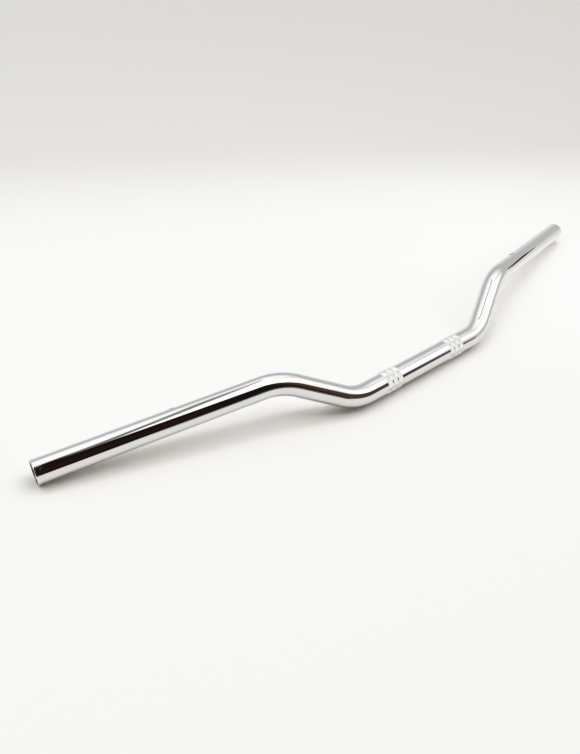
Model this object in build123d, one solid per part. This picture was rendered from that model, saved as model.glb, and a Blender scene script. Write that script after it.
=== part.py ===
from build123d import *
from math import cos, pi, radians, sin, tan
import os

# A motorcycle handlebar bent from one length of round steel tube, lying as it rests on a table.
# Millimetres, +Z up. The origin is the middle of the straight clamp section, on the tube's axis.
# X runs along the clamp section, and both grips sweep back towards +Y.
# The clamp section's teeth and both grip ends touch one level plane, half a tube below the origin.

# The tube
TUBE_OD = 22.2
WALL = 2.1
END_ROUNDING = 0.5
MOUTH_CHAMFER = 0.4

# The centreline's corners on the +X side, where the straight runs would meet
SHOULDER_X = 97.0
KNEE_X = 167.0
KNEE_BACK = 36.5
KNEE_RISE = 28.3
END_X = 386.4
END_BACK = 85.5
END_DROP = 0.27

# Bend radii, to the tube's axis
SHOULDER_RADIUS = 55.0
KNEE_RADIUS = 70.0

# The two clamp zones, each of three serrated bands with plain tube between them
ZONE_CENTRE_X = 49.2
BANDS_PER_ZONE = 3
BAND_WIDTH = 6.0
BAND_GAP = 1.5
TEETH = 72
CREST_PROUD = 0.12
ROOT_DEPTH = 0.23

# The drilled holes that stop the switch housings from turning
HOLE_DIAMETER = 4.0
PLUS_HOLE_FROM_END = 163.0
PLUS_HOLE_LEAN = 31.0
MINUS_HOLE_FROM_END = 123.0
MINUS_HOLE_LEAN = 43.0

OUTER_RADIUS = TUBE_OD / 2
BORE_RADIUS = OUTER_RADIUS - WALL
CREST_RADIUS = OUTER_RADIUS + CREST_PROUD
ROOT_RADIUS = OUTER_RADIUS - ROOT_DEPTH
CUTTER_RADIUS = OUTER_RADIUS + 2.0


def mouth(side):
    """The centreline's end on the side given by +1 or -1."""
    return Vector(side * END_X, END_BACK, -END_DROP)


def knee(side):
    """The corner between riser and grip."""
    return Vector(side * KNEE_X, KNEE_BACK, KNEE_RISE)


def shoulder(side):
    """The corner between clamp section and riser."""
    return Vector(side * SHOULDER_X, 0, 0)


CORNERS = [mouth(-1), knee(-1), shoulder(-1), shoulder(1), knee(1), mouth(1)]
BEND_RADII = [KNEE_RADIUS, SHOULDER_RADIUS, SHOULDER_RADIUS, KNEE_RADIUS]


def straight_run(start, end, radius):
    """A solid rod between two points."""
    way = end - start
    return extrude(Plane(origin=start, z_dir=way) * Circle(radius), way.length)


def bent_rod(radius):
    """A solid rod along the whole centreline, with a round bend at each corner."""
    rods = []
    start = CORNERS[0]
    for i, bend_radius in enumerate(BEND_RADII):
        corner = CORNERS[i + 1]
        way_in = (corner - CORNERS[i]).normalized()
        way_out = (CORNERS[i + 2] - corner).normalized()
        turn = way_in.get_angle(way_out)
        setback = bend_radius * tan(radians(turn / 2))
        bend_start = corner - way_in * setback
        bend_axis = way_in.cross(way_out).normalized()
        bend_centre = bend_start + bend_axis.cross(way_in) * bend_radius
        section = Plane(origin=bend_start, z_dir=way_in) * Circle(radius)
        rods.append(straight_run(start, bend_start, radius))
        rods.append(revolve(section, Axis(bend_centre, bend_axis), turn))
        start = corner + way_out * setback
    rods.append(straight_run(start, CORNERS[-1], radius))
    return rods[0].fuse(*rods[1:])


def at_end(edge, side):
    """Whether a round edge lies at the mouth on this side."""
    return (edge.arc_center - mouth(side)).length < WALL


def soften_mouths(tube):
    """The tube with the outside of both cut ends rounded and the bore's edge chamfered."""
    for side in (-1, 1):
        rims = tube.edges().filter_by(GeomType.CIRCLE).filter_by(lambda e: at_end(e, side))
        outer_rim = rims.sort_by(lambda e: e.radius)[-1]
        tube = fillet(outer_rim, END_ROUNDING)
        rims = tube.edges().filter_by(GeomType.CIRCLE).filter_by(lambda e: at_end(e, side))
        inner_rim = rims.sort_by(lambda e: e.radius)[0]
        tube = chamfer(inner_rim, MOUTH_CHAMFER)
    return tube


def band_starts():
    """The lower X limit of every serrated band."""
    pitch = BAND_WIDTH + BAND_GAP
    first = -(BANDS_PER_ZONE - 1) / 2 * pitch - BAND_WIDTH / 2
    return [s * ZONE_CENTRE_X + first + i * pitch for s in (-1, 1) for i in range(BANDS_PER_ZONE)]


def tooth_points():
    """Crest and root points in turn around the tube."""
    points = []
    for i in range(2 * TEETH):
        r = CREST_RADIUS if i % 2 == 0 else ROOT_RADIUS
        points.append((r * cos(pi * i / TEETH), r * sin(pi * i / TEETH)))
    return points


def serrate(tube):
    """The tube with teeth along its axis rolled into each band."""
    outline = make_face(Polyline(*tooth_points(), close=True))
    around = Circle(CUTTER_RADIUS) - outline
    raised = Circle(CREST_RADIUS) - Circle(ROOT_RADIUS)
    for x in band_starts():
        plane = Plane(origin=(x, 0, 0), z_dir=(1, 0, 0))
        tube = tube + extrude(plane * raised, BAND_WIDTH)
        tube = tube - extrude(plane * around, BAND_WIDTH)
    return tube


def housing_hole(side, from_end, lean):
    """A drill through one wall of a grip, leaning back from straight up by an angle in degrees."""
    along = (knee(side) - mouth(side)).normalized()
    centre = mouth(side) + along * from_end
    up = Vector(0, sin(radians(lean)), cos(radians(lean)))
    way_out = (up - along * up.dot(along)).normalized()
    return straight_run(centre, centre + way_out * CUTTER_RADIUS, HOLE_DIAMETER / 2)


tube = bent_rod(OUTER_RADIUS) - bent_rod(BORE_RADIUS)
tube = soften_mouths(tube)
tube = serrate(tube)
tube = tube - housing_hole(1, PLUS_HOLE_FROM_END, PLUS_HOLE_LEAN)
tube = tube - housing_hole(-1, MINUS_HOLE_FROM_END, MINUS_HOLE_LEAN)

os.makedirs("parts", exist_ok=True)
export_step(tube, "parts/handlebar_tube.step")
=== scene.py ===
import math

import bmesh
import bpy
from mathutils import Matrix, Vector


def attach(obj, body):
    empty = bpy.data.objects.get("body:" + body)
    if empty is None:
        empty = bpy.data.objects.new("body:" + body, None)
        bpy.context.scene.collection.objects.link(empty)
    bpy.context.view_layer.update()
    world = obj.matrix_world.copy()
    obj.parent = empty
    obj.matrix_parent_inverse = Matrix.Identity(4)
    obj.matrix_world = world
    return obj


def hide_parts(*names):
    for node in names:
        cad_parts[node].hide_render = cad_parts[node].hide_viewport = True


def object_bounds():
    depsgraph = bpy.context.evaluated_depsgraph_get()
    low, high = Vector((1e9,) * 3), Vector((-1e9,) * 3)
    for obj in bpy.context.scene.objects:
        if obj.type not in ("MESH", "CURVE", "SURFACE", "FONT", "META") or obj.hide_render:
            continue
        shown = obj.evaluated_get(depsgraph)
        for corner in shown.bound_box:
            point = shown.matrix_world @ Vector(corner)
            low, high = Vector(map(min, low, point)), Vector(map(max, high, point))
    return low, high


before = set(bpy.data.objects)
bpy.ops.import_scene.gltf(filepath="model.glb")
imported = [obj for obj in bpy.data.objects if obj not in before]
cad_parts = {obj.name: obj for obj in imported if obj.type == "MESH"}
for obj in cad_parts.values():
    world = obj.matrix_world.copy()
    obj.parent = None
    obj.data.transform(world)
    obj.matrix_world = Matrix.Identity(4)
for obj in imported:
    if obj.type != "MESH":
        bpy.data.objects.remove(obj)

CAD_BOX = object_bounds()

# Metres throughout. The row frame: origin at the middle of the clamp section on the tube's axis,
# X along the clamp section, grips swept back towards +Y, +Z up.

# --- Driving dimensions, the same as the CAD part's ---
TUBE_RADIUS = 0.0111
WALL = 0.0021
BORE_RADIUS = TUBE_RADIUS - WALL
END_ROUNDING = 0.0005
MOUTH_CHAMFER = 0.0004
SHOULDER = Vector((0.097, 0, 0))
KNEE = Vector((0.167, 0.0365, 0.0283))
MOUTH = Vector((0.3864, 0.0855, -0.00027))
SHOULDER_RADIUS = 0.055
KNEE_RADIUS = 0.070
ZONE_CENTRE_X = 0.0492
BANDS_PER_ZONE = 3
BAND_WIDTH = 0.006
BAND_GAP = 0.0015
TEETH = 72
CREST_PROUD = 0.00012
ROOT_DEPTH = 0.00023
HOLE_RADIUS = 0.002
# For each housing hole: side, distance from the mouth, lean back from straight up in degrees
HOLES = ((1, 0.163, 31.0), (-1, 0.123, 43.0))

# --- Fine shapes that the CAD part leaves out ---
EDGE_ROUND = 0.00008
HOLE_BREAK = 0.00025
# The length over which the teeth run out at a band's ends, then (share of it, share of the teeth's height)
RUN_OUT = 0.0004
RUN_OUT_SHAPE = ((0.0, 0.0), (0.35, 0.55), (1.0, 1.0))
# How far the teeth's flanks bow out at mid-height, as a share of the teeth's height
FLANK_BOW = 0.12

# --- Mesh fineness ---
RING = 144
POINTS_PER_TOOTH = 8
TOOTH_RING = TEETH * POINTS_PER_TOOTH
STATION_STEP = 0.003
BEND_STEP = 0.002
BAND_CELLS = 4
EDGE_STEPS = 3
END_STEPS = 10
# How far in from the mouth an end's shaping starts, and how many of its strips keep the bright plating
END_LEAD = 0.0016
PLATED_END_STRIPS = 9
# How near a serrated band the plain tube's last ring stands, and its last but one at the nearest
STAND_OFF = 0.0004
NEXT_STAND_OFF = 0.0006
# The square patch of mesh round each housing hole, and the layers that lead from it in to the hole
PATCH_CELLS = 14
PATCH_HALF = 0.0034
OUTER_LAYERS = 4
INNER_LAYERS = 3
# The plain ring next to a hole's edge, and the foot of the hole's wall, which is bare like the bore
COLLAR = 0.0001
HOLE_FOOT = 0.0002
# Allowance for rounding where distances are compared
HAIR = 1e-7


# --- The centreline ---
class Run:
    """A straight run or a round bend of the centreline.

    start is its distance from the middle of the bar. centre is where it starts, and axes are the directions
    along, side and up there.
    """

    def __init__(self, start, length, centre, axes, bend_axis=None, radius=None):
        self.start = start
        self.length = length
        self.centre = centre
        self.axes = axes
        self.bend_axis = bend_axis
        self.radius = radius

    def place(self, distance):
        """The centre and axes this far on from the start."""
        along = self.axes[0]
        if self.bend_axis is None:
            return self.centre + along * distance, self.axes
        hub = self.centre + self.bend_axis.cross(along) * self.radius
        spin = Matrix.Rotation(distance / self.radius, 3, self.bend_axis)
        return hub + spin @ (self.centre - hub), [spin @ axis for axis in self.axes]


def half_path():
    """The runs and bends from the middle of the bar out to the +X mouth."""
    path = []
    start = 0.0
    centre = Vector((0, 0, 0))
    axes = [Vector((1, 0, 0)), Vector((0, 1, 0)), Vector((0, 0, 1))]
    for corner, after, radius in ((SHOULDER, KNEE, SHOULDER_RADIUS), (KNEE, MOUTH, KNEE_RADIUS)):
        turned = (after - corner).normalized()
        turn = axes[0].angle(turned)
        bend_axis = axes[0].cross(turned).normalized()
        length = (corner - centre).length - radius * math.tan(turn / 2)
        straight = Run(start, length, centre, axes)
        centre, axes = straight.place(length)
        bend = Run(start + length, radius * turn, centre, axes, bend_axis, radius)
        centre, axes = bend.place(bend.length)
        start = bend.start + bend.length
        path += [straight, bend]
    return path + [Run(start, (MOUTH - centre).length, centre, axes)]


HALF_PATH = half_path()
HALF_LENGTH = HALF_PATH[-1].start + HALF_PATH[-1].length
LIMIT = HALF_LENGTH - END_LEAD


def frame_at(s):
    """Centre, tangent and two cross axes at signed distance s from the middle of the bar."""
    run = [r for r in HALF_PATH if r.start <= abs(s) + HAIR][-1]
    centre, (along, side, up) = run.place(abs(s) - run.start)
    if s < 0:
        flip = Vector((-1, 1, 1))
        centre, side, up = centre * flip, side * flip, up * flip
        along = -(along * flip)
    return centre, along, side, up


def hole_place(side, from_mouth, lean):
    """Where a housing hole is: distance along the bar and angle round it."""
    s = side * (HALF_LENGTH - from_mouth)
    _, along, across, up = frame_at(s)
    way = Vector((0, math.sin(math.radians(lean)), math.cos(math.radians(lean))))
    way = (way - along * way.dot(along)).normalized()
    return s, math.atan2(way.dot(up), way.dot(across)) % (2 * math.pi)


# Each housing hole as (distance along the bar, angle round it)
PLACES = [hole_place(*hole) for hole in HOLES]


def band_starts():
    """The lower X limit of every serrated band."""
    pitch = BAND_WIDTH + BAND_GAP
    first = -(BANDS_PER_ZONE - 1) / 2 * pitch - BAND_WIDTH / 2
    return [side * ZONE_CENTRE_X + first + i * pitch for side in (-1, 1) for i in range(BANDS_PER_ZONE)]


def patch_marks():
    """The distances along the bar that the square patches round the holes need."""
    step = 2 * PATCH_HALF / PATCH_CELLS
    return [s - PATCH_HALF + i * step for s, _ in PLACES for i in range(PATCH_CELLS + 1)]


def stations(breaks):
    """Distances along the bar, close together on the bends, through every one of breaks."""
    bends = [(run.start, run.start + run.length) for run in HALF_PATH if run.bend_axis is not None]
    marks = breaks + [side * edge for bend in bends for edge in bend for side in (-1, 1)]
    marks = sorted(set(round(m, 9) for m in marks))
    result = []
    for a, b in zip(marks, marks[1:]):
        bent = any(low < abs(a + b) / 2 < high for low, high in bends)
        count = max(1, math.ceil((b - a - HAIR) / (BEND_STEP if bent else STATION_STEP)))
        result += [a + (b - a) * i / count for i in range(count)]
    return result + [marks[-1]]


# --- The tube as one closed mesh ---
PLATED, SERRATED, BORE, CUT = range(4)


class TubeMesh:
    """Vertices, faces and, for each vertex, its place on the tube as if it were straight."""

    def __init__(self):
        self.verts = []
        self.unbent = []
        self.faces = []
        self.slots = []

    def point(self, s, angle, radius):
        """Adds a vertex by its distance along the bar, angle round it and radius. Returns its number."""
        centre, _, side, up = frame_at(s)
        flat = Vector((s, radius * math.cos(angle), radius * math.sin(angle)))
        self.verts.append(centre + side * flat.y + up * flat.z)
        self.unbent.append(flat)
        return len(self.verts) - 1

    def ring(self, s, radius, count=RING, height=lambda i: 0.0):
        """Adds a ring of vertices, the i-th one raised by height(i)."""
        step = 2 * math.pi / count
        return [self.point(s, i * step, radius + height(i)) for i in range(count)]

    def face(self, corners, slot):
        self.faces.append(corners)
        self.slots.append(slot)

    def join(self, a, b, slot, skip=()):
        """Faces between two rings. Where one ring is finer, each face takes in several of its points."""
        if len(a) == len(b):
            for i in range(len(a)):
                j = (i + 1) % len(a)
                if i not in skip:
                    self.face((a[i], a[j], b[j], b[i]), slot)
            return
        coarse, fine = sorted((a, b), key=len)
        share = len(fine) // len(coarse)
        for i in range(len(coarse)):
            run = [fine[(i * share + k) % len(fine)] for k in range(share + 1)]
            self.face((coarse[i], coarse[(i + 1) % len(coarse)], *reversed(run)), slot)

    def join_all(self, rings, slots):
        """Joins each ring to the next, with one slot for each pair."""
        for a, b, slot in zip(rings, rings[1:], slots):
            self.join(a, b, slot)


def patch_columns(angle):
    """The ring columns that the patch round a hole takes out."""
    first = round(angle / (2 * math.pi / RING)) - PATCH_CELLS // 2
    return [(first + i) % RING for i in range(PATCH_CELLS)]


class Wall:
    """A plain cylinder with a ring at each of marks, which are distances along the bar.

    A square patch is left out round each housing hole.
    """

    def __init__(self, tube, marks, radius, slot):
        self.marks = marks
        self.rings = [tube.ring(s, radius) for s in marks]
        self.places = [place for place in PLACES if marks[0] < place[0] < marks[-1]]
        for i in range(len(marks) - 1):
            middle = (marks[i] + marks[i + 1]) / 2
            skip = set()
            for s, angle in self.places:
                if abs(middle - s) < PATCH_HALF:
                    skip.update(patch_columns(angle))
            tube.join(self.rings[i], self.rings[i + 1], slot, skip)

    def patch_edge(self, place):
        """The loop of points round a left-out patch, in order."""
        s, angle = place
        rows = [ring for mark, ring in zip(self.marks, self.rings) if abs(mark - s) < PATCH_HALF + HAIR]
        columns = patch_columns(angle)
        columns.append((columns[-1] + 1) % RING)
        loop = [ring[columns[0]] for ring in rows]
        loop += [rows[-1][c] for c in columns[1:]]
        loop += [ring[columns[-1]] for ring in reversed(rows[:-1])]
        loop += [rows[0][c] for c in reversed(columns[1:-1])]
        return loop


def plain_walls(tube):
    """The plain outside from -X to +X, in stretches between the serrated bands."""
    edges = [-LIMIT] + [e for start in band_starts() for e in (start, start + BAND_WIDTH)] + [LIMIT]
    whole = stations(edges + patch_marks())
    walls = []
    for a, b in zip(edges[::2], edges[1::2]):
        marks = [m for m in whole if a - HAIR <= m <= b + HAIR]
        # Beside a band the last ring stands off by a little, so that the finer ring has room
        if a > -LIMIT:
            marks = [marks[0] + STAND_OFF] + [m for m in marks if m > marks[0] + NEXT_STAND_OFF]
        if b < LIMIT:
            marks = [m for m in marks if m < marks[-1] - NEXT_STAND_OFF] + [marks[-1] - STAND_OFF]
        walls.append(Wall(tube, marks, TUBE_RADIUS, PLATED))
    return walls


def tooth(i):
    """Height of a point on the tooth ring over the plain tube: V grooves between blunt crests."""
    phase = (i % POINTS_PER_TOOTH) / POINTS_PER_TOOTH
    share = abs(1 - 2 * phase)
    share += FLANK_BOW / 2 * (1 - math.cos(2 * math.pi * share))
    return -ROOT_DEPTH + (CREST_PROUD + ROOT_DEPTH) * share


def serrated_band(tube, start):
    """One band, its teeth running out at both ends. Returns its rings."""
    rise = [(start + share * RUN_OUT, height) for share, height in RUN_OUT_SHAPE]
    middle = [(start + BAND_WIDTH * k / BAND_CELLS, 1.0) for k in range(1, BAND_CELLS)]
    fall = [(2 * start + BAND_WIDTH - s, height) for s, height in reversed(rise)]
    rings = [
        tube.ring(s, TUBE_RADIUS, TOOTH_RING, lambda i, share=height: share * tooth(i))
        for s, height in rise + middle + fall
    ]
    tube.join_all(rings, [SERRATED] * len(rings))
    return rings


def rounded(points, radius=EDGE_ROUND, steps=EDGE_STEPS):
    """A 2-D outline with each inner corner eased by an arc."""
    result = [points[0]]
    for before, corner, after in zip(points, points[1:], points[2:]):
        corner = Vector(corner)
        back = (Vector(before) - corner).normalized()
        on = (Vector(after) - corner).normalized()
        half = back.angle(on) / 2
        set_back = radius / math.tan(half)
        hub = corner + (back + on).normalized() * (radius / math.sin(half))
        first, last = corner + back * set_back, corner + on * set_back
        for i in range(steps + 1):
            spoke = (first - hub).lerp(last - hub, i / steps).normalized()
            result.append(tuple(hub + spoke * radius))
    return result + [points[-1]]


def end_profile():
    """A cut end from the outside round to the bore, as (distance in from the end plane, radius)."""
    outer = rounded([
        (END_LEAD, TUBE_RADIUS),
        (0.0, TUBE_RADIUS),
        (0.0, BORE_RADIUS),
    ], END_ROUNDING, END_STEPS)
    inner = rounded([
        (0.0, TUBE_RADIUS - END_ROUNDING),
        (0.0, BORE_RADIUS + MOUTH_CHAMFER),
        (MOUTH_CHAMFER, BORE_RADIUS),
        (END_LEAD, BORE_RADIUS),
    ])
    return outer[1:-1] + inner[1:-1]


def cut_end(tube, side, outside, bore):
    """The end of the wall on one side, from the outside's last ring to the bore's."""
    rings = [tube.ring(side * (HALF_LENGTH - depth), radius) for depth, radius in end_profile()]
    slots = [PLATED] * PLATED_END_STRIPS + [CUT] * (len(rings) - PLATED_END_STRIPS) + [BORE]
    tube.join_all([outside] + rings + [bore], slots)


def hole_loop(tube, place, directions, rho, radius):
    """A loop of points where the drill's circle of radius rho meets a cylinder round the bar's axis."""
    s, angle = place
    loop = []
    for a in directions:
        along, across = rho * math.cos(a), rho * math.sin(a)
        loop.append(tube.point(s + along, angle + math.asin(across / radius), radius))
    return loop


def surround(tube, place, edge, radius, rho, layers):
    """Loops from a patch's square edge in to the drill's circle of radius rho, and their directions."""
    s, angle = place
    spots = []
    for vertex in edge:
        flat = tube.unbent[vertex]
        turn = (math.atan2(flat.z, flat.y) - angle + math.pi) % (2 * math.pi) - math.pi
        spots.append((flat.x - s, turn * radius))
    directions = [math.atan2(y, x) for x, y in spots]
    circle = [(rho * math.cos(a), radius * math.asin(rho * math.sin(a) / radius)) for a in directions]
    loops = [edge]
    for k in range(1, layers + 1):
        t = k / layers
        loop = []
        for (x, y), (rim_x, rim_y) in zip(spots, circle):
            at_x, at_y = x + (rim_x - x) * t, y + (rim_y - y) * t
            loop.append(tube.point(s + at_x, angle + at_y / radius, radius))
        loops.append(loop)
    return loops, directions


def drill(tube, place, outside, bore):
    """Fills the two patches round a hole and makes the hole's wall, with its outer edge broken."""
    collar = HOLE_RADIUS + HOLE_BREAK + COLLAR
    outer, directions = surround(tube, place, outside, TUBE_RADIUS, collar, OUTER_LAYERS)
    profile = rounded([
        (collar, 0.0),
        (HOLE_RADIUS + HOLE_BREAK, 0.0),
        (HOLE_RADIUS, HOLE_BREAK),
        (HOLE_RADIUS, WALL - HOLE_FOOT),
    ], EDGE_ROUND / 2)
    walls = [hole_loop(tube, place, directions, rho, TUBE_RADIUS - depth) for rho, depth in profile[1:]]
    inner, _ = surround(tube, place, bore, BORE_RADIUS, HOLE_RADIUS + COLLAR, INNER_LAYERS)
    foot = hole_loop(tube, place, directions, HOLE_RADIUS, BORE_RADIUS)
    slots = [PLATED] * len(outer) + [CUT] * (len(walls) - 1) + [BORE] * (len(inner) + 1)
    tube.join_all(outer + walls + [foot] + inner[::-1], slots)


def build_tube():
    """The whole bar: outside with its serrated bands, bore, cut ends and housing holes."""
    tube = TubeMesh()
    walls = plain_walls(tube)
    for start, before, after in zip(band_starts(), walls, walls[1:]):
        band = serrated_band(tube, start)
        tube.join(before.rings[-1], band[0], PLATED)
        tube.join(band[-1], after.rings[0], PLATED)
    bore = Wall(tube, stations([-LIMIT, LIMIT] + patch_marks()), BORE_RADIUS, BORE)
    cut_end(tube, -1, walls[0].rings[0], bore.rings[0])
    cut_end(tube, 1, walls[-1].rings[-1], bore.rings[-1])
    for place in PLACES:
        outside = next(wall for wall in walls if place in wall.places)
        drill(tube, place, outside.patch_edge(place), bore.patch_edge(place))
    return tube


# --- Node helpers ---
def new_material(name):
    """A material with its node tree and shader."""
    material = bpy.data.materials.new(name)
    material.use_nodes = True
    tree = material.node_tree
    shader = next(n for n in tree.nodes if n.type == "BSDF_PRINCIPLED")
    return material, tree, shader


def new_metal(name):
    material, tree, shader = new_material(name)
    shader.inputs["Metallic"].default_value = 1.0
    return material, tree, shader


def node(tree, kind, **values):
    """A new node. The values in small letters are its settings, and the others are its inputs."""
    made = tree.nodes.new(kind)
    for key, value in values.items():
        if key.islower():
            setattr(made, key, value)
        else:
            made.inputs[key].default_value = value
    return made


def feed(tree, value, socket):
    """Gives a socket a number, a colour or another node's output."""
    if isinstance(value, tuple):
        socket.default_value = (*value, 1)
    elif isinstance(value, (int, float)):
        socket.default_value = value
    else:
        tree.links.new(value, socket)


def math_node(tree, operation, *values):
    made = node(tree, "ShaderNodeMath", operation=operation)
    for value, socket in zip(values, made.inputs):
        feed(tree, value, socket)
    return made.outputs[0]


def times(tree, first, *rest):
    """The product of several factors."""
    for factor in rest:
        first = math_node(tree, "MULTIPLY", first, factor)
    return first


def measure(tree, operation, vector, fixed=None):
    """A number taken from a vector, by itself or together with a fixed one."""
    made = node(tree, "ShaderNodeVectorMath", operation=operation)
    tree.links.new(vector, made.inputs[0])
    if fixed is not None:
        made.inputs[1].default_value = fixed
    return made.outputs["Value"]


def parts_of(tree, vector):
    """A vector's X, Y and Z."""
    split = tree.nodes.new("ShaderNodeSeparateXYZ")
    tree.links.new(vector, split.inputs[0])
    return tuple(split.outputs)


def ramp(tree, value, span, results=(0.0, 1.0)):
    """Eases from the first result to the second while the value crosses the span."""
    made = node(tree, "ShaderNodeMapRange", interpolation_type="SMOOTHSTEP")
    tree.links.new(value, made.inputs["Value"])
    made.inputs["From Min"].default_value, made.inputs["From Max"].default_value = span
    made.inputs["To Min"].default_value, made.inputs["To Max"].default_value = results
    return made.outputs["Result"]


def window(tree, value, fades, depth=1.0):
    """Rises from 0 to depth over the first two of four fades and falls back over the last two."""
    return times(tree, ramp(tree, value, fades[:2]), ramp(tree, value, fades[2:], (depth, 0.0)))


def mix_colour(tree, factor, a, b):
    made = node(tree, "ShaderNodeMix", data_type="RGBA")
    for name, value in (("Factor", factor), ("A", a), ("B", b)):
        feed(tree, value, next(s for s in made.inputs if s.name == name and s.enabled))
    return next(s for s in made.outputs if s.enabled)


def unbent(tree):
    """A point's place on the straightened bar, so that grain follows the tube round its bends."""
    return node(tree, "ShaderNodeAttribute", attribute_name="unbent").outputs["Vector"]


def unbent_scaled(tree, scale):
    mapping = node(tree, "ShaderNodeMapping", Scale=scale)
    tree.links.new(unbent(tree), mapping.inputs["Vector"])
    return mapping.outputs["Vector"]


def noise(tree, scale, detail=3.0, rough=0.5, stretch=(1, 1, 1)):
    """Noise on the straightened bar, its scale in patches per metre."""
    made = node(tree, "ShaderNodeTexNoise", Scale=scale, Detail=detail, Roughness=rough)
    tree.links.new(unbent_scaled(tree, stretch), made.inputs["Vector"])
    return made.outputs["Fac"]


def bump(tree, height, distance, strength=1.0, after=None):
    made = node(tree, "ShaderNodeBump", Strength=strength, Distance=distance)
    tree.links.new(height, made.inputs["Height"])
    if after is not None:
        tree.links.new(after, made.inputs["Normal"])
    return made.outputs["Normal"]


def distance_from_end(tree):
    """How far a point is from the nearer cut end, along the tube."""
    x, _, _ = parts_of(tree, unbent(tree))
    return math_node(tree, "SUBTRACT", HALF_LENGTH, math_node(tree, "ABSOLUTE", x))


# --- Materials ---
CHROME_TONES = ((0.66, 0.66, 0.65), (0.64, 0.64, 0.635))
CHROME_ROUGHNESS = (0.015, 0.05)
CHROME_WAVE = 0.000012
SERRATED_TONES = ((0.78, 0.78, 0.77), (0.72, 0.72, 0.715))
SERRATED_ROUGHNESS = (0.26, 0.40)
SERRATED_WAVE = 0.000008
POLISH_LINES = 0.0000008
END_WEAR = 0.32
WORN_FROM_END = (0.004, 0.014)
# A dark stain colour: the cut faces take it in random patches, and the plating takes it round the holes as
# painted shade
STAIN_AND_HOLE_SHADE = (0.05, 0.042, 0.036)
# From a hole's centre, where the painted shade round its rim starts to fade and where it is gone
SHADED_RIM = (HOLE_RADIUS + 0.0003, HOLE_RADIUS + 0.0009)

STEEL_TONES = ((0.30, 0.295, 0.285), (0.20, 0.195, 0.19))
STEEL_ROUGHNESS = (0.42, 0.6)
RUST = (0.20, 0.115, 0.07)
WELD = (0.16, 0.155, 0.17)
WELD_HALF_WIDTH = (0.0004, 0.0009)
# The weld runs along the underside, and this is how it fades in below the axis
WELD_BELOW = (0.0, -0.001)
WELD_HEIGHT = 0.0001
DRAWN_LINES = 0.00002
PLATED_INSIDE = (0.004, 0.022)
PLATED_INSIDE_GLOSS = 0.3

CUT_TONE = (0.24, 0.23, 0.215)
CUT_ROUGHNESS = (0.28, 0.45)
FACING_DEPTH = 0.000003
# The rings that facing leaves, in radians of their ripple per metre of radius
FACING_RINGS = 42000.0


def chrome(name, tones, roughness, wave, worn_and_hole_shade=False):
    """Bright chrome plating: a faint tone drift, smudges in the gloss and a slow waviness of the polish.

    Worn plating has dull flecks over the last millimetres before the cut ends, and the holes get painted
    shade round their rims.
    """
    material, tree, shader = new_metal(name)
    colour = mix_colour(tree, noise(tree, scale=40.0, detail=2.0), *tones)
    gloss = ramp(tree, noise(tree, scale=110.0, detail=5.0, rough=0.6), span=(0.45, 0.75), results=roughness)
    if worn_and_hole_shade:
        # Painted shade: the plating darkened round the rims of the housing holes
        colour = mix_colour(tree, hole_shade(tree), colour, STAIN_AND_HOLE_SHADE)
        near_end = ramp(tree, distance_from_end(tree), WORN_FROM_END, (END_WEAR, 0.0))
        flecks = ramp(tree, noise(tree, scale=650.0, rough=0.6), span=(0.46, 0.70))
        gloss = math_node(tree, "ADD", gloss, times(tree, near_end, flecks))
    tree.links.new(colour, shader.inputs["Base Color"])
    tree.links.new(gloss, shader.inputs["Roughness"])
    slow = bump(tree, noise(tree, scale=90.0, detail=1.0, rough=0.3, stretch=(1, 1.5, 1.5)), wave)
    fine = noise(tree, scale=1800.0, detail=2.0, stretch=(1, 0.12, 0.12))
    tree.links.new(bump(tree, fine, POLISH_LINES, after=slow), shader.inputs["Normal"])
    return material


def hole_shade(tree):
    """Where painted shade darkens the plating: 1 at the rims of the housing holes, fading to 0 a little way
    out.
    """
    darkening = 0.0
    for s, angle in PLACES:
        centre = (s, TUBE_RADIUS * math.cos(angle), TUBE_RADIUS * math.sin(angle))
        rim = ramp(tree, measure(tree, "DISTANCE", unbent(tree), centre), SHADED_RIM, (1.0, 0.0))
        darkening = math_node(tree, "MAXIMUM", darkening, rim)
    return darkening


def bore_steel():
    """The unplated inside: dull grey, drawn lines, light rust and a weld line, brighter near the mouths."""
    material, tree, shader = new_metal("bore_steel")
    _, y, z = parts_of(tree, unbent(tree))
    plated = ramp(tree, distance_from_end(tree), PLATED_INSIDE, (1.0, 0.0))
    rust = ramp(tree, noise(tree, scale=260.0, detail=6.0, rough=0.65), span=(0.52, 0.72))
    steel = mix_colour(tree, noise(tree, scale=120.0, detail=4.0), *STEEL_TONES)
    steel = mix_colour(tree, rust, steel, RUST)
    weld = ramp(tree, math_node(tree, "ABSOLUTE", y), WELD_HALF_WIDTH, (1.0, 0.0))
    weld = times(tree, weld, ramp(tree, z, WELD_BELOW))
    steel = mix_colour(tree, weld, steel, WELD)
    tree.links.new(mix_colour(tree, plated, steel, CHROME_TONES[1]), shader.inputs["Base Color"])
    dull = ramp(tree, noise(tree, scale=200.0, detail=4.0), span=(0.3, 0.7), results=STEEL_ROUGHNESS)
    gloss = math_node(tree, "SUBTRACT", dull, times(tree, plated, PLATED_INSIDE_GLOSS))
    tree.links.new(gloss, shader.inputs["Roughness"])
    drawn = bump(tree, noise(tree, scale=2500.0, rough=0.6, stretch=(0.02, 1, 1)), DRAWN_LINES, strength=0.7)
    tree.links.new(bump(tree, weld, WELD_HEIGHT, strength=0.8, after=drawn), shader.inputs["Normal"])
    return material


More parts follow.
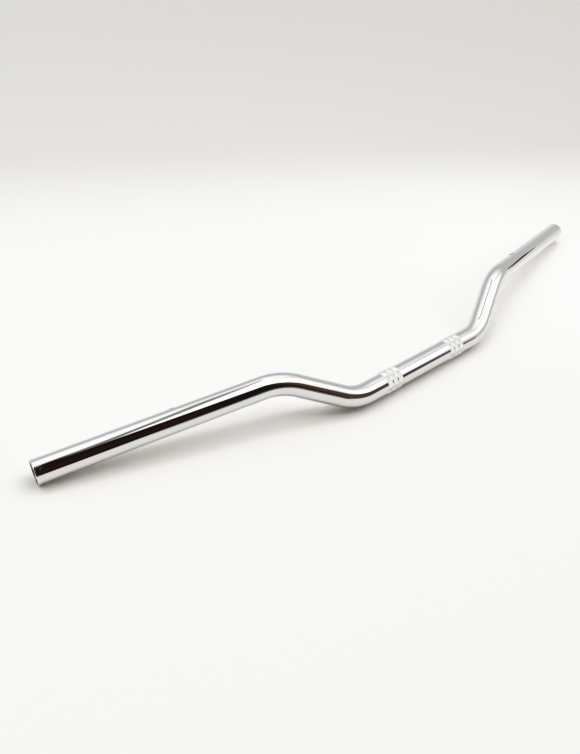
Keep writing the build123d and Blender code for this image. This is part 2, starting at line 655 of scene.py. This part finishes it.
def cut_face():
    """Cut ends and drilled holes: thin stained plating, with the rings that facing leaves."""
    material, tree, shader = new_metal("cut_edge_plating")
    darkening = ramp(tree, noise(tree, scale=700.0, detail=4.0), span=(0.35, 0.65))
    tree.links.new(mix_colour(tree, darkening, CUT_TONE, STAIN_AND_HOLE_SHADE), shader.inputs["Base Color"])
    roughness = ramp(tree, noise(tree, scale=900.0, detail=4.0), span=(0.3, 0.7), results=CUT_ROUGHNESS)
    tree.links.new(roughness, shader.inputs["Roughness"])
    radius = measure(tree, "LENGTH", unbent_scaled(tree, (0, 1, 1)))
    rings = math_node(tree, "SINE", times(tree, radius, FACING_RINGS))
    tree.links.new(bump(tree, rings, FACING_DEPTH, strength=0.6), shader.inputs["Normal"])
    return material


def add_object(name, data):
    obj = bpy.data.objects.new(name, data)
    bpy.context.collection.objects.link(obj)
    return obj


def make_tube():
    """The handlebar's look, which rides on the root body in place of the CAD node."""
    tube = build_tube()
    mesh = bpy.data.meshes.new("bent_tube")
    mesh.from_pydata(tube.verts, [], tube.faces)
    mesh.validate()
    layer = mesh.attributes.new("unbent", "FLOAT_VECTOR", "POINT")
    layer.data.foreach_set("vector", [c for flat in tube.unbent for c in flat])
    # In the order of the slots PLATED, SERRATED, BORE and CUT
    mesh.materials.append(chrome("chrome_plating", CHROME_TONES, CHROME_ROUGHNESS, CHROME_WAVE, worn_and_hole_shade=True))
    mesh.materials.append(chrome("serrated_plating", SERRATED_TONES, SERRATED_ROUGHNESS, SERRATED_WAVE))
    mesh.materials.append(bore_steel())
    mesh.materials.append(cut_face())
    mesh.polygons.foreach_set("material_index", tube.slots)
    mesh.shade_smooth()
    obj = add_object("bent_tube", mesh)
    bm = bmesh.new()
    bm.from_mesh(mesh)
    bmesh.ops.recalc_face_normals(bm, faces=bm.faces)
    bm.to_mesh(mesh)
    bm.free()
    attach(obj, "root")
    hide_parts("handlebar_tube")
    return obj


make_tube()


# --- Stage: a pale floor and a sweep behind it ---
FLOOR_Z = CAD_BOX[0][2]
FLOOR_RADIUS = 3.0
SWEEP_BEND = 1.0
SWEEP_RISE = 2.2
SWEEP_STEPS = 12
LATHE_STEPS = 96
# The backdrop side, as an azimuth from +Y towards +X, and how far that way the paper's painted shade starts
# and stops deepening, standing in for the light falling off towards the back
BACK_AZIMUTH = 22.0
PAPER_SHADE_FADES = (0.28, 0.53)
PAPER = (0.945, 0.927, 0.880)
# The paper's far tone, greyer with painted shade for the light that falls off towards the back
FAR_PAPER_SHADED = (0.685, 0.673, 0.632)
# The grain's darker tone, as a share of the paper's
GRAIN_SHADE = 0.985
MATT_ROUGHNESS = 0.9
PAPER_SPECULAR = 0.2
CARD_X = 0.55
CARD_Y = (-0.014, 0.044)
CARD_Z = (0.060, 0.096)
CARD_GREY = (0.07, 0.07, 0.075, 1)


def heading(azimuth):
    """A level direction from its azimuth in degrees, from +Y towards +X."""
    return Vector((math.sin(math.radians(azimuth)), math.cos(math.radians(azimuth)), 0))


def paper_with_painted_shade():
    """Matt backdrop paper, pale under the bar, with painted shade making it a little greyer towards the back
    where the light falls off.
    """
    material, tree, shader = new_material("paper_with_painted_shade")
    place = node(tree, "ShaderNodeTexCoord").outputs["Object"]
    # Painted shade: the paper greys towards the back, standing in for light falling off
    shade_towards_back = ramp(tree, measure(tree, "DOT_PRODUCT", place, heading(BACK_AZIMUTH)), PAPER_SHADE_FADES)
    grain = node(tree, "ShaderNodeTexNoise", Scale=6.0, Detail=4.0)
    tree.links.new(place, grain.inputs["Vector"])
    near = mix_colour(tree, grain.outputs["Fac"], PAPER, tuple(GRAIN_SHADE * c for c in PAPER))
    tree.links.new(mix_colour(tree, shade_towards_back, near, FAR_PAPER_SHADED), shader.inputs["Base Color"])
    shader.inputs["Roughness"].default_value = MATT_ROUGHNESS
    shader.inputs["Specular IOR Level"].default_value = PAPER_SPECULAR
    return material


def lathe(name, profile, material):
    """A surface of revolution about the Z axis from (radius, height) points."""
    turns = [2 * math.pi * i / LATHE_STEPS for i in range(LATHE_STEPS)]
    verts = [(r * math.cos(turn), r * math.sin(turn), z) for r, z in profile for turn in turns]
    faces = []
    for low in range(0, len(verts) - LATHE_STEPS, LATHE_STEPS):
        high = low + LATHE_STEPS
        for i in range(LATHE_STEPS):
            j = (i + 1) % LATHE_STEPS
            faces.append((low + i, low + j, high + j, high + i))
    mesh = bpy.data.meshes.new(name)
    mesh.from_pydata(verts, [], faces)
    mesh.materials.append(material)
    mesh.shade_smooth()
    return add_object(name, mesh)


def dark_card():
    """A small grey card beyond the +X end, which draws a thin dark line in that grip."""
    material, _, shader = new_material("grey_card")
    shader.inputs["Base Color"].default_value = CARD_GREY
    shader.inputs["Roughness"].default_value = MATT_ROUGHNESS
    (y0, y1), (z0, z1) = CARD_Y, CARD_Z
    corners = [(CARD_X, y, z) for y, z in ((y0, z0), (y1, z0), (y1, z1), (y0, z1))]
    mesh = bpy.data.meshes.new("grey_card")
    mesh.from_pydata(corners, [], [(0, 1, 2, 3)])
    mesh.materials.append(material)
    return add_object("grey_card", mesh)


def seen_only_by(obj, *rays):
    for ray in ("camera", "diffuse", "glossy", "transmission", "shadow"):
        setattr(obj, "visible_" + ray, ray in rays)


def make_stage():
    paper = paper_with_painted_shade()
    floor = lathe("floor", [(r, FLOOR_Z) for r in (0.0, FLOOR_RADIUS / 3, FLOOR_RADIUS)], paper)
    quarter = [math.pi / 2 * i / SWEEP_STEPS for i in range(SWEEP_STEPS + 1)]
    curve = [
        (FLOOR_RADIUS + SWEEP_BEND * math.sin(a), FLOOR_Z + SWEEP_BEND * (1 - math.cos(a))) for a in quarter
    ]
    sweep = lathe("sweep", curve + [(FLOOR_RADIUS + SWEEP_BEND, FLOOR_Z + SWEEP_RISE)], paper)
    seen_only_by(sweep, "camera")
    card = dark_card()
    seen_only_by(card, "glossy")


make_stage()


# --- Studio light: a pale light tent, open and dark towards -Y, and two lamps ---
WALL_GREY = 0.70
WALL_BRIGHTER_ABOVE = 1.45
WALL_BRIGHTER_AT_FOOT = 0.48
BRIGHT_SIDE = (2.4, 2.4, 2.35)
SEAM_GREY = (0.20, 0.20, 0.20)
ROOM_GREY = (0.12, 0.115, 0.12)
ROOM_BLACK = (0.023, 0.017, 0.013)
ROOM_BROWN = (0.145, 0.092, 0.056)
ROOM_RED = (0.050, 0.020, 0.015)

# Places in the tent, by azimuth from +Y towards +X or by elevation, in degrees. Two numbers are where
# something fades in or out, and four are where it fades in and where it fades out again.
WALL_ABOVE_ELEVATIONS = (27, 60)
WALL_FOOT_ELEVATIONS = (-4, 13)
BRIGHT_SIDE_AZIMUTHS = (92, 104, 200, 240)
BRIGHT_SIDE_ELEVATIONS = (20, 36)
SIDE_SEAM_AZIMUTHS = (82, 85, 88, 91)
SIDE_SEAM_ELEVATIONS = (41, 45, 64, 72)
SIDE_SEAM_DEPTH = 0.85
OVERHEAD_SEAM_NORMAL = (-0.863, 0.501, 0.066)
# Sines of the angles off the seam's plane
OVERHEAD_SEAM_HALF_WIDTH = (0.038, 0.084)
OVERHEAD_SEAM_ELEVATIONS = (50, 58)
OVERHEAD_SEAM_DEPTH = 0.88
PEAK_ELEVATIONS = (82, 88)
PEAK_DEPTH = 0.8
OPENING_AZIMUTHS = (127, 132.5, 255, 275)
OPENING_FOOT = (2, 9)
# The opening's top edge is lowest towards +X and rises twice, each rise given with the azimuths it takes
OPENING_TOP = 36.0
OPENING_TOP_RISES = ((42, (138, 186)), (12, (186, 208)))
OPENING_TOP_FADE = (-7, 6)
SILL_GAP_AZIMUTHS = (163, 168, 177, 182)
SILL_GAP_TOP = (0, 10)
BROWN_FROM = (136, 146)
BLACK_FROM = (158, 169)
GLOW_AZIMUTHS = (175, 179, 190, 196)
GLOW_ELEVATIONS = (22, 28, 42, 48)

KEY_HEIGHT = 0.90
KEY_ELEVATION = 75.0
KEY_SIZE = (1.8, 0.16)
KEY_SHIFT = -0.25
KEY_POWER = 3.6
KEY_COLOUR = (0.96, 0.985, 1.07)

FILL_PLACE = Vector((0.46, -0.24, 0.28))
FILL_AIM = Vector((0.29, 0.07, 0.0))
FILL_SIZE = 0.15
FILL_SPREAD = 62.0
FILL_POWER = 0.08


def tent_walls(tree, azimuth, elevation):
    """Walls grey at eye level, brighter overhead and at the foot, and brightest high on the +X side."""
    above = ramp(tree, elevation, WALL_ABOVE_ELEVATIONS, (0, WALL_BRIGHTER_ABOVE))
    foot = ramp(tree, elevation, WALL_FOOT_ELEVATIONS, (WALL_BRIGHTER_AT_FOOT, 0))
    wall = math_node(tree, "ADD", math_node(tree, "ADD", above, foot), WALL_GREY)
    light = node(tree, "ShaderNodeCombineXYZ")
    for socket in light.inputs:
        tree.links.new(wall, socket)
    bright = window(tree, azimuth, BRIGHT_SIDE_AZIMUTHS)
    bright = times(tree, bright, ramp(tree, elevation, BRIGHT_SIDE_ELEVATIONS))
    return mix_colour(tree, bright, light.outputs[0], BRIGHT_SIDE)


def tent_seams(tree, light, way, azimuth, elevation):
    """Adds the grey seams up the side, across the ceiling and at its peak."""
    side = window(tree, azimuth, SIDE_SEAM_AZIMUTHS)
    side = times(tree, side, window(tree, elevation, SIDE_SEAM_ELEVATIONS, SIDE_SEAM_DEPTH))
    off_plane = math_node(tree, "ABSOLUTE", measure(tree, "DOT_PRODUCT", way, OVERHEAD_SEAM_NORMAL))
    overhead = ramp(tree, off_plane, OVERHEAD_SEAM_HALF_WIDTH, (OVERHEAD_SEAM_DEPTH, 0))
    overhead = times(tree, overhead, ramp(tree, elevation, OVERHEAD_SEAM_ELEVATIONS))
    peak = ramp(tree, elevation, PEAK_ELEVATIONS, (0, PEAK_DEPTH))
    for seam in (side, overhead, peak):
        light = mix_colour(tree, seam, light, SEAM_GREY)
    return light


def tent_opening(tree, light, azimuth, elevation):
    """Adds the opening, a gap in its sill and the dark room that shows through them."""
    top = OPENING_TOP
    for rise, azimuths in OPENING_TOP_RISES:
        top = math_node(tree, "ADD", top, ramp(tree, azimuth, azimuths, (0, rise)))
    under_top = ramp(tree, math_node(tree, "SUBTRACT", elevation, top), OPENING_TOP_FADE, (1, 0))
    opening = window(tree, azimuth, OPENING_AZIMUTHS)
    opening = times(tree, opening, under_top, ramp(tree, elevation, OPENING_FOOT))
    gap = times(tree, window(tree, azimuth, SILL_GAP_AZIMUTHS), ramp(tree, elevation, SILL_GAP_TOP, (1, 0)))
    opening = math_node(tree, "MAXIMUM", opening, gap)
    room = mix_colour(tree, ramp(tree, azimuth, BROWN_FROM), ROOM_GREY, ROOM_BROWN)
    room = mix_colour(tree, ramp(tree, azimuth, BLACK_FROM), room, ROOM_BLACK)
    glow = times(tree, window(tree, azimuth, GLOW_AZIMUTHS), window(tree, elevation, GLOW_ELEVATIONS))
    room = mix_colour(tree, glow, room, ROOM_RED)
    return mix_colour(tree, opening, light, room)


def studio_world():
    """The tent's light by direction."""
    world = bpy.data.worlds.new("studio")
    bpy.context.scene.world = world
    world.use_nodes = True
    tree = world.node_tree
    background = next(n for n in tree.nodes if n.type == "BACKGROUND")
    way = node(tree, "ShaderNodeTexCoord").outputs["Generated"]
    x, y, z = parts_of(tree, way)
    elevation = math_node(tree, "DEGREES", math_node(tree, "ARCSINE", z))
    azimuth = math_node(tree, "DEGREES", math_node(tree, "ARCTAN2", x, y))
    azimuth = math_node(tree, "MODULO", math_node(tree, "ADD", azimuth, 360.0), 360.0)
    light = tent_walls(tree, azimuth, elevation)
    light = tent_seams(tree, light, way, azimuth, elevation)
    light = tent_opening(tree, light, azimuth, elevation)
    tree.links.new(light, background.inputs["Color"])


def area_lamp(name, shape, power):
    """A lamp that lights the floor and the bar but isn't seen or mirrored itself."""
    data = bpy.data.lights.new(name, "AREA")
    data.shape = shape
    data.energy = power
    lamp = add_object(name, data)
    lamp.visible_camera = False
    lamp.visible_glossy = False
    return lamp


def placed(place, x_axis, y_axis, z_axis):
    """An object's matrix from its place and its own three axes."""
    return Matrix.Translation(place) @ Matrix((x_axis, y_axis, z_axis)).transposed().to_4x4()


def key_light():
    """A strip of light along the tent's ceiling, level with the backdrop. It casts the soft shadow."""
    lamp = area_lamp("key", "RECTANGLE", KEY_POWER)
    lamp.data.size, lamp.data.size_y = KEY_SIZE
    lamp.data.color = KEY_COLOUR
    along = heading(BACK_AZIMUTH + 90)
    place = heading(BACK_AZIMUTH) * (KEY_HEIGHT / math.tan(math.radians(KEY_ELEVATION)))
    place.z = KEY_HEIGHT
    away = place.normalized()
    lamp.matrix_world = placed(place + along * KEY_SHIFT, along, away.cross(along), away)


def fill_light():
    """A weak lamp in front of the +X half, which lightens that half's shadow."""
    lamp = area_lamp("fill", "SQUARE", FILL_POWER)
    lamp.data.size = FILL_SIZE
    lamp.data.spread = math.radians(FILL_SPREAD)
    turned = (FILL_PLACE - FILL_AIM).to_track_quat("Z", "Y").to_matrix()
    lamp.matrix_world = Matrix.Translation(FILL_PLACE) @ turned.to_4x4()


studio_world()
key_light()
fill_light()


# --- Exposure: a bright white floor, the darks deepened and the highlights eased off as a camera does ---
# Points of the curve, as (light, how bright it is shown), and the light at the curve's far end
TONE_CURVE = (
    (0.12, 0.075),
    (0.3, 0.245),
    (0.5, 0.49),
    (0.7, 0.67),
    (0.845, 0.765),
    (1.0, 0.865),
    (1.2, 0.945),
    (1.6, 0.99),
)
BRIGHTEST = 2.2
# The number of the curve that acts on all channels together
ALL_CHANNELS = 3


def expose():
    view = bpy.context.scene.view_settings
    view.view_transform = "Standard"
    view.use_curve_mapping = True
    mapping = view.curve_mapping
    mapping.white_level = (BRIGHTEST, BRIGHTEST, BRIGHTEST)
    curve = mapping.curves[ALL_CHANNELS]
    for light, shown in TONE_CURVE:
        curve.points.new(light / BRIGHTEST, shown)
    mapping.update()


expose()


# --- Camera, at the photograph's viewing angle ---
FRAME_HEIGHT = 754
FOCAL_PIXELS = 832.1
SENSOR = 36.0
CLIP_START = 0.01
CLIP_END = 30.0
CAMERA_PLACE = Vector((-0.60394, -0.34733, 0.50769))
# In degrees, the azimuth from +Y towards +X
CAMERA_AZIMUTH = 49.53
CAMERA_TILT = -39.07
CAMERA_ROLL = 10.525


def place_camera():
    data = bpy.data.cameras.new("camera")
    data.sensor_width = SENSOR
    data.lens = FOCAL_PIXELS * SENSOR / FRAME_HEIGHT
    data.clip_start = CLIP_START
    data.clip_end = CLIP_END
    camera = add_object("camera", data)
    tilt, roll = math.radians(CAMERA_TILT), math.radians(CAMERA_ROLL)
    ahead = heading(CAMERA_AZIMUTH) * math.cos(tilt)
    ahead.z = math.sin(tilt)
    level = ahead.cross(Vector((0, 0, 1))).normalized()
    above = level.cross(ahead)
    right = level * math.cos(roll) + above * math.sin(roll)
    camera.matrix_world = placed(CAMERA_PLACE, right, right.cross(ahead), -ahead)
    bpy.context.scene.camera = camera


place_camera()
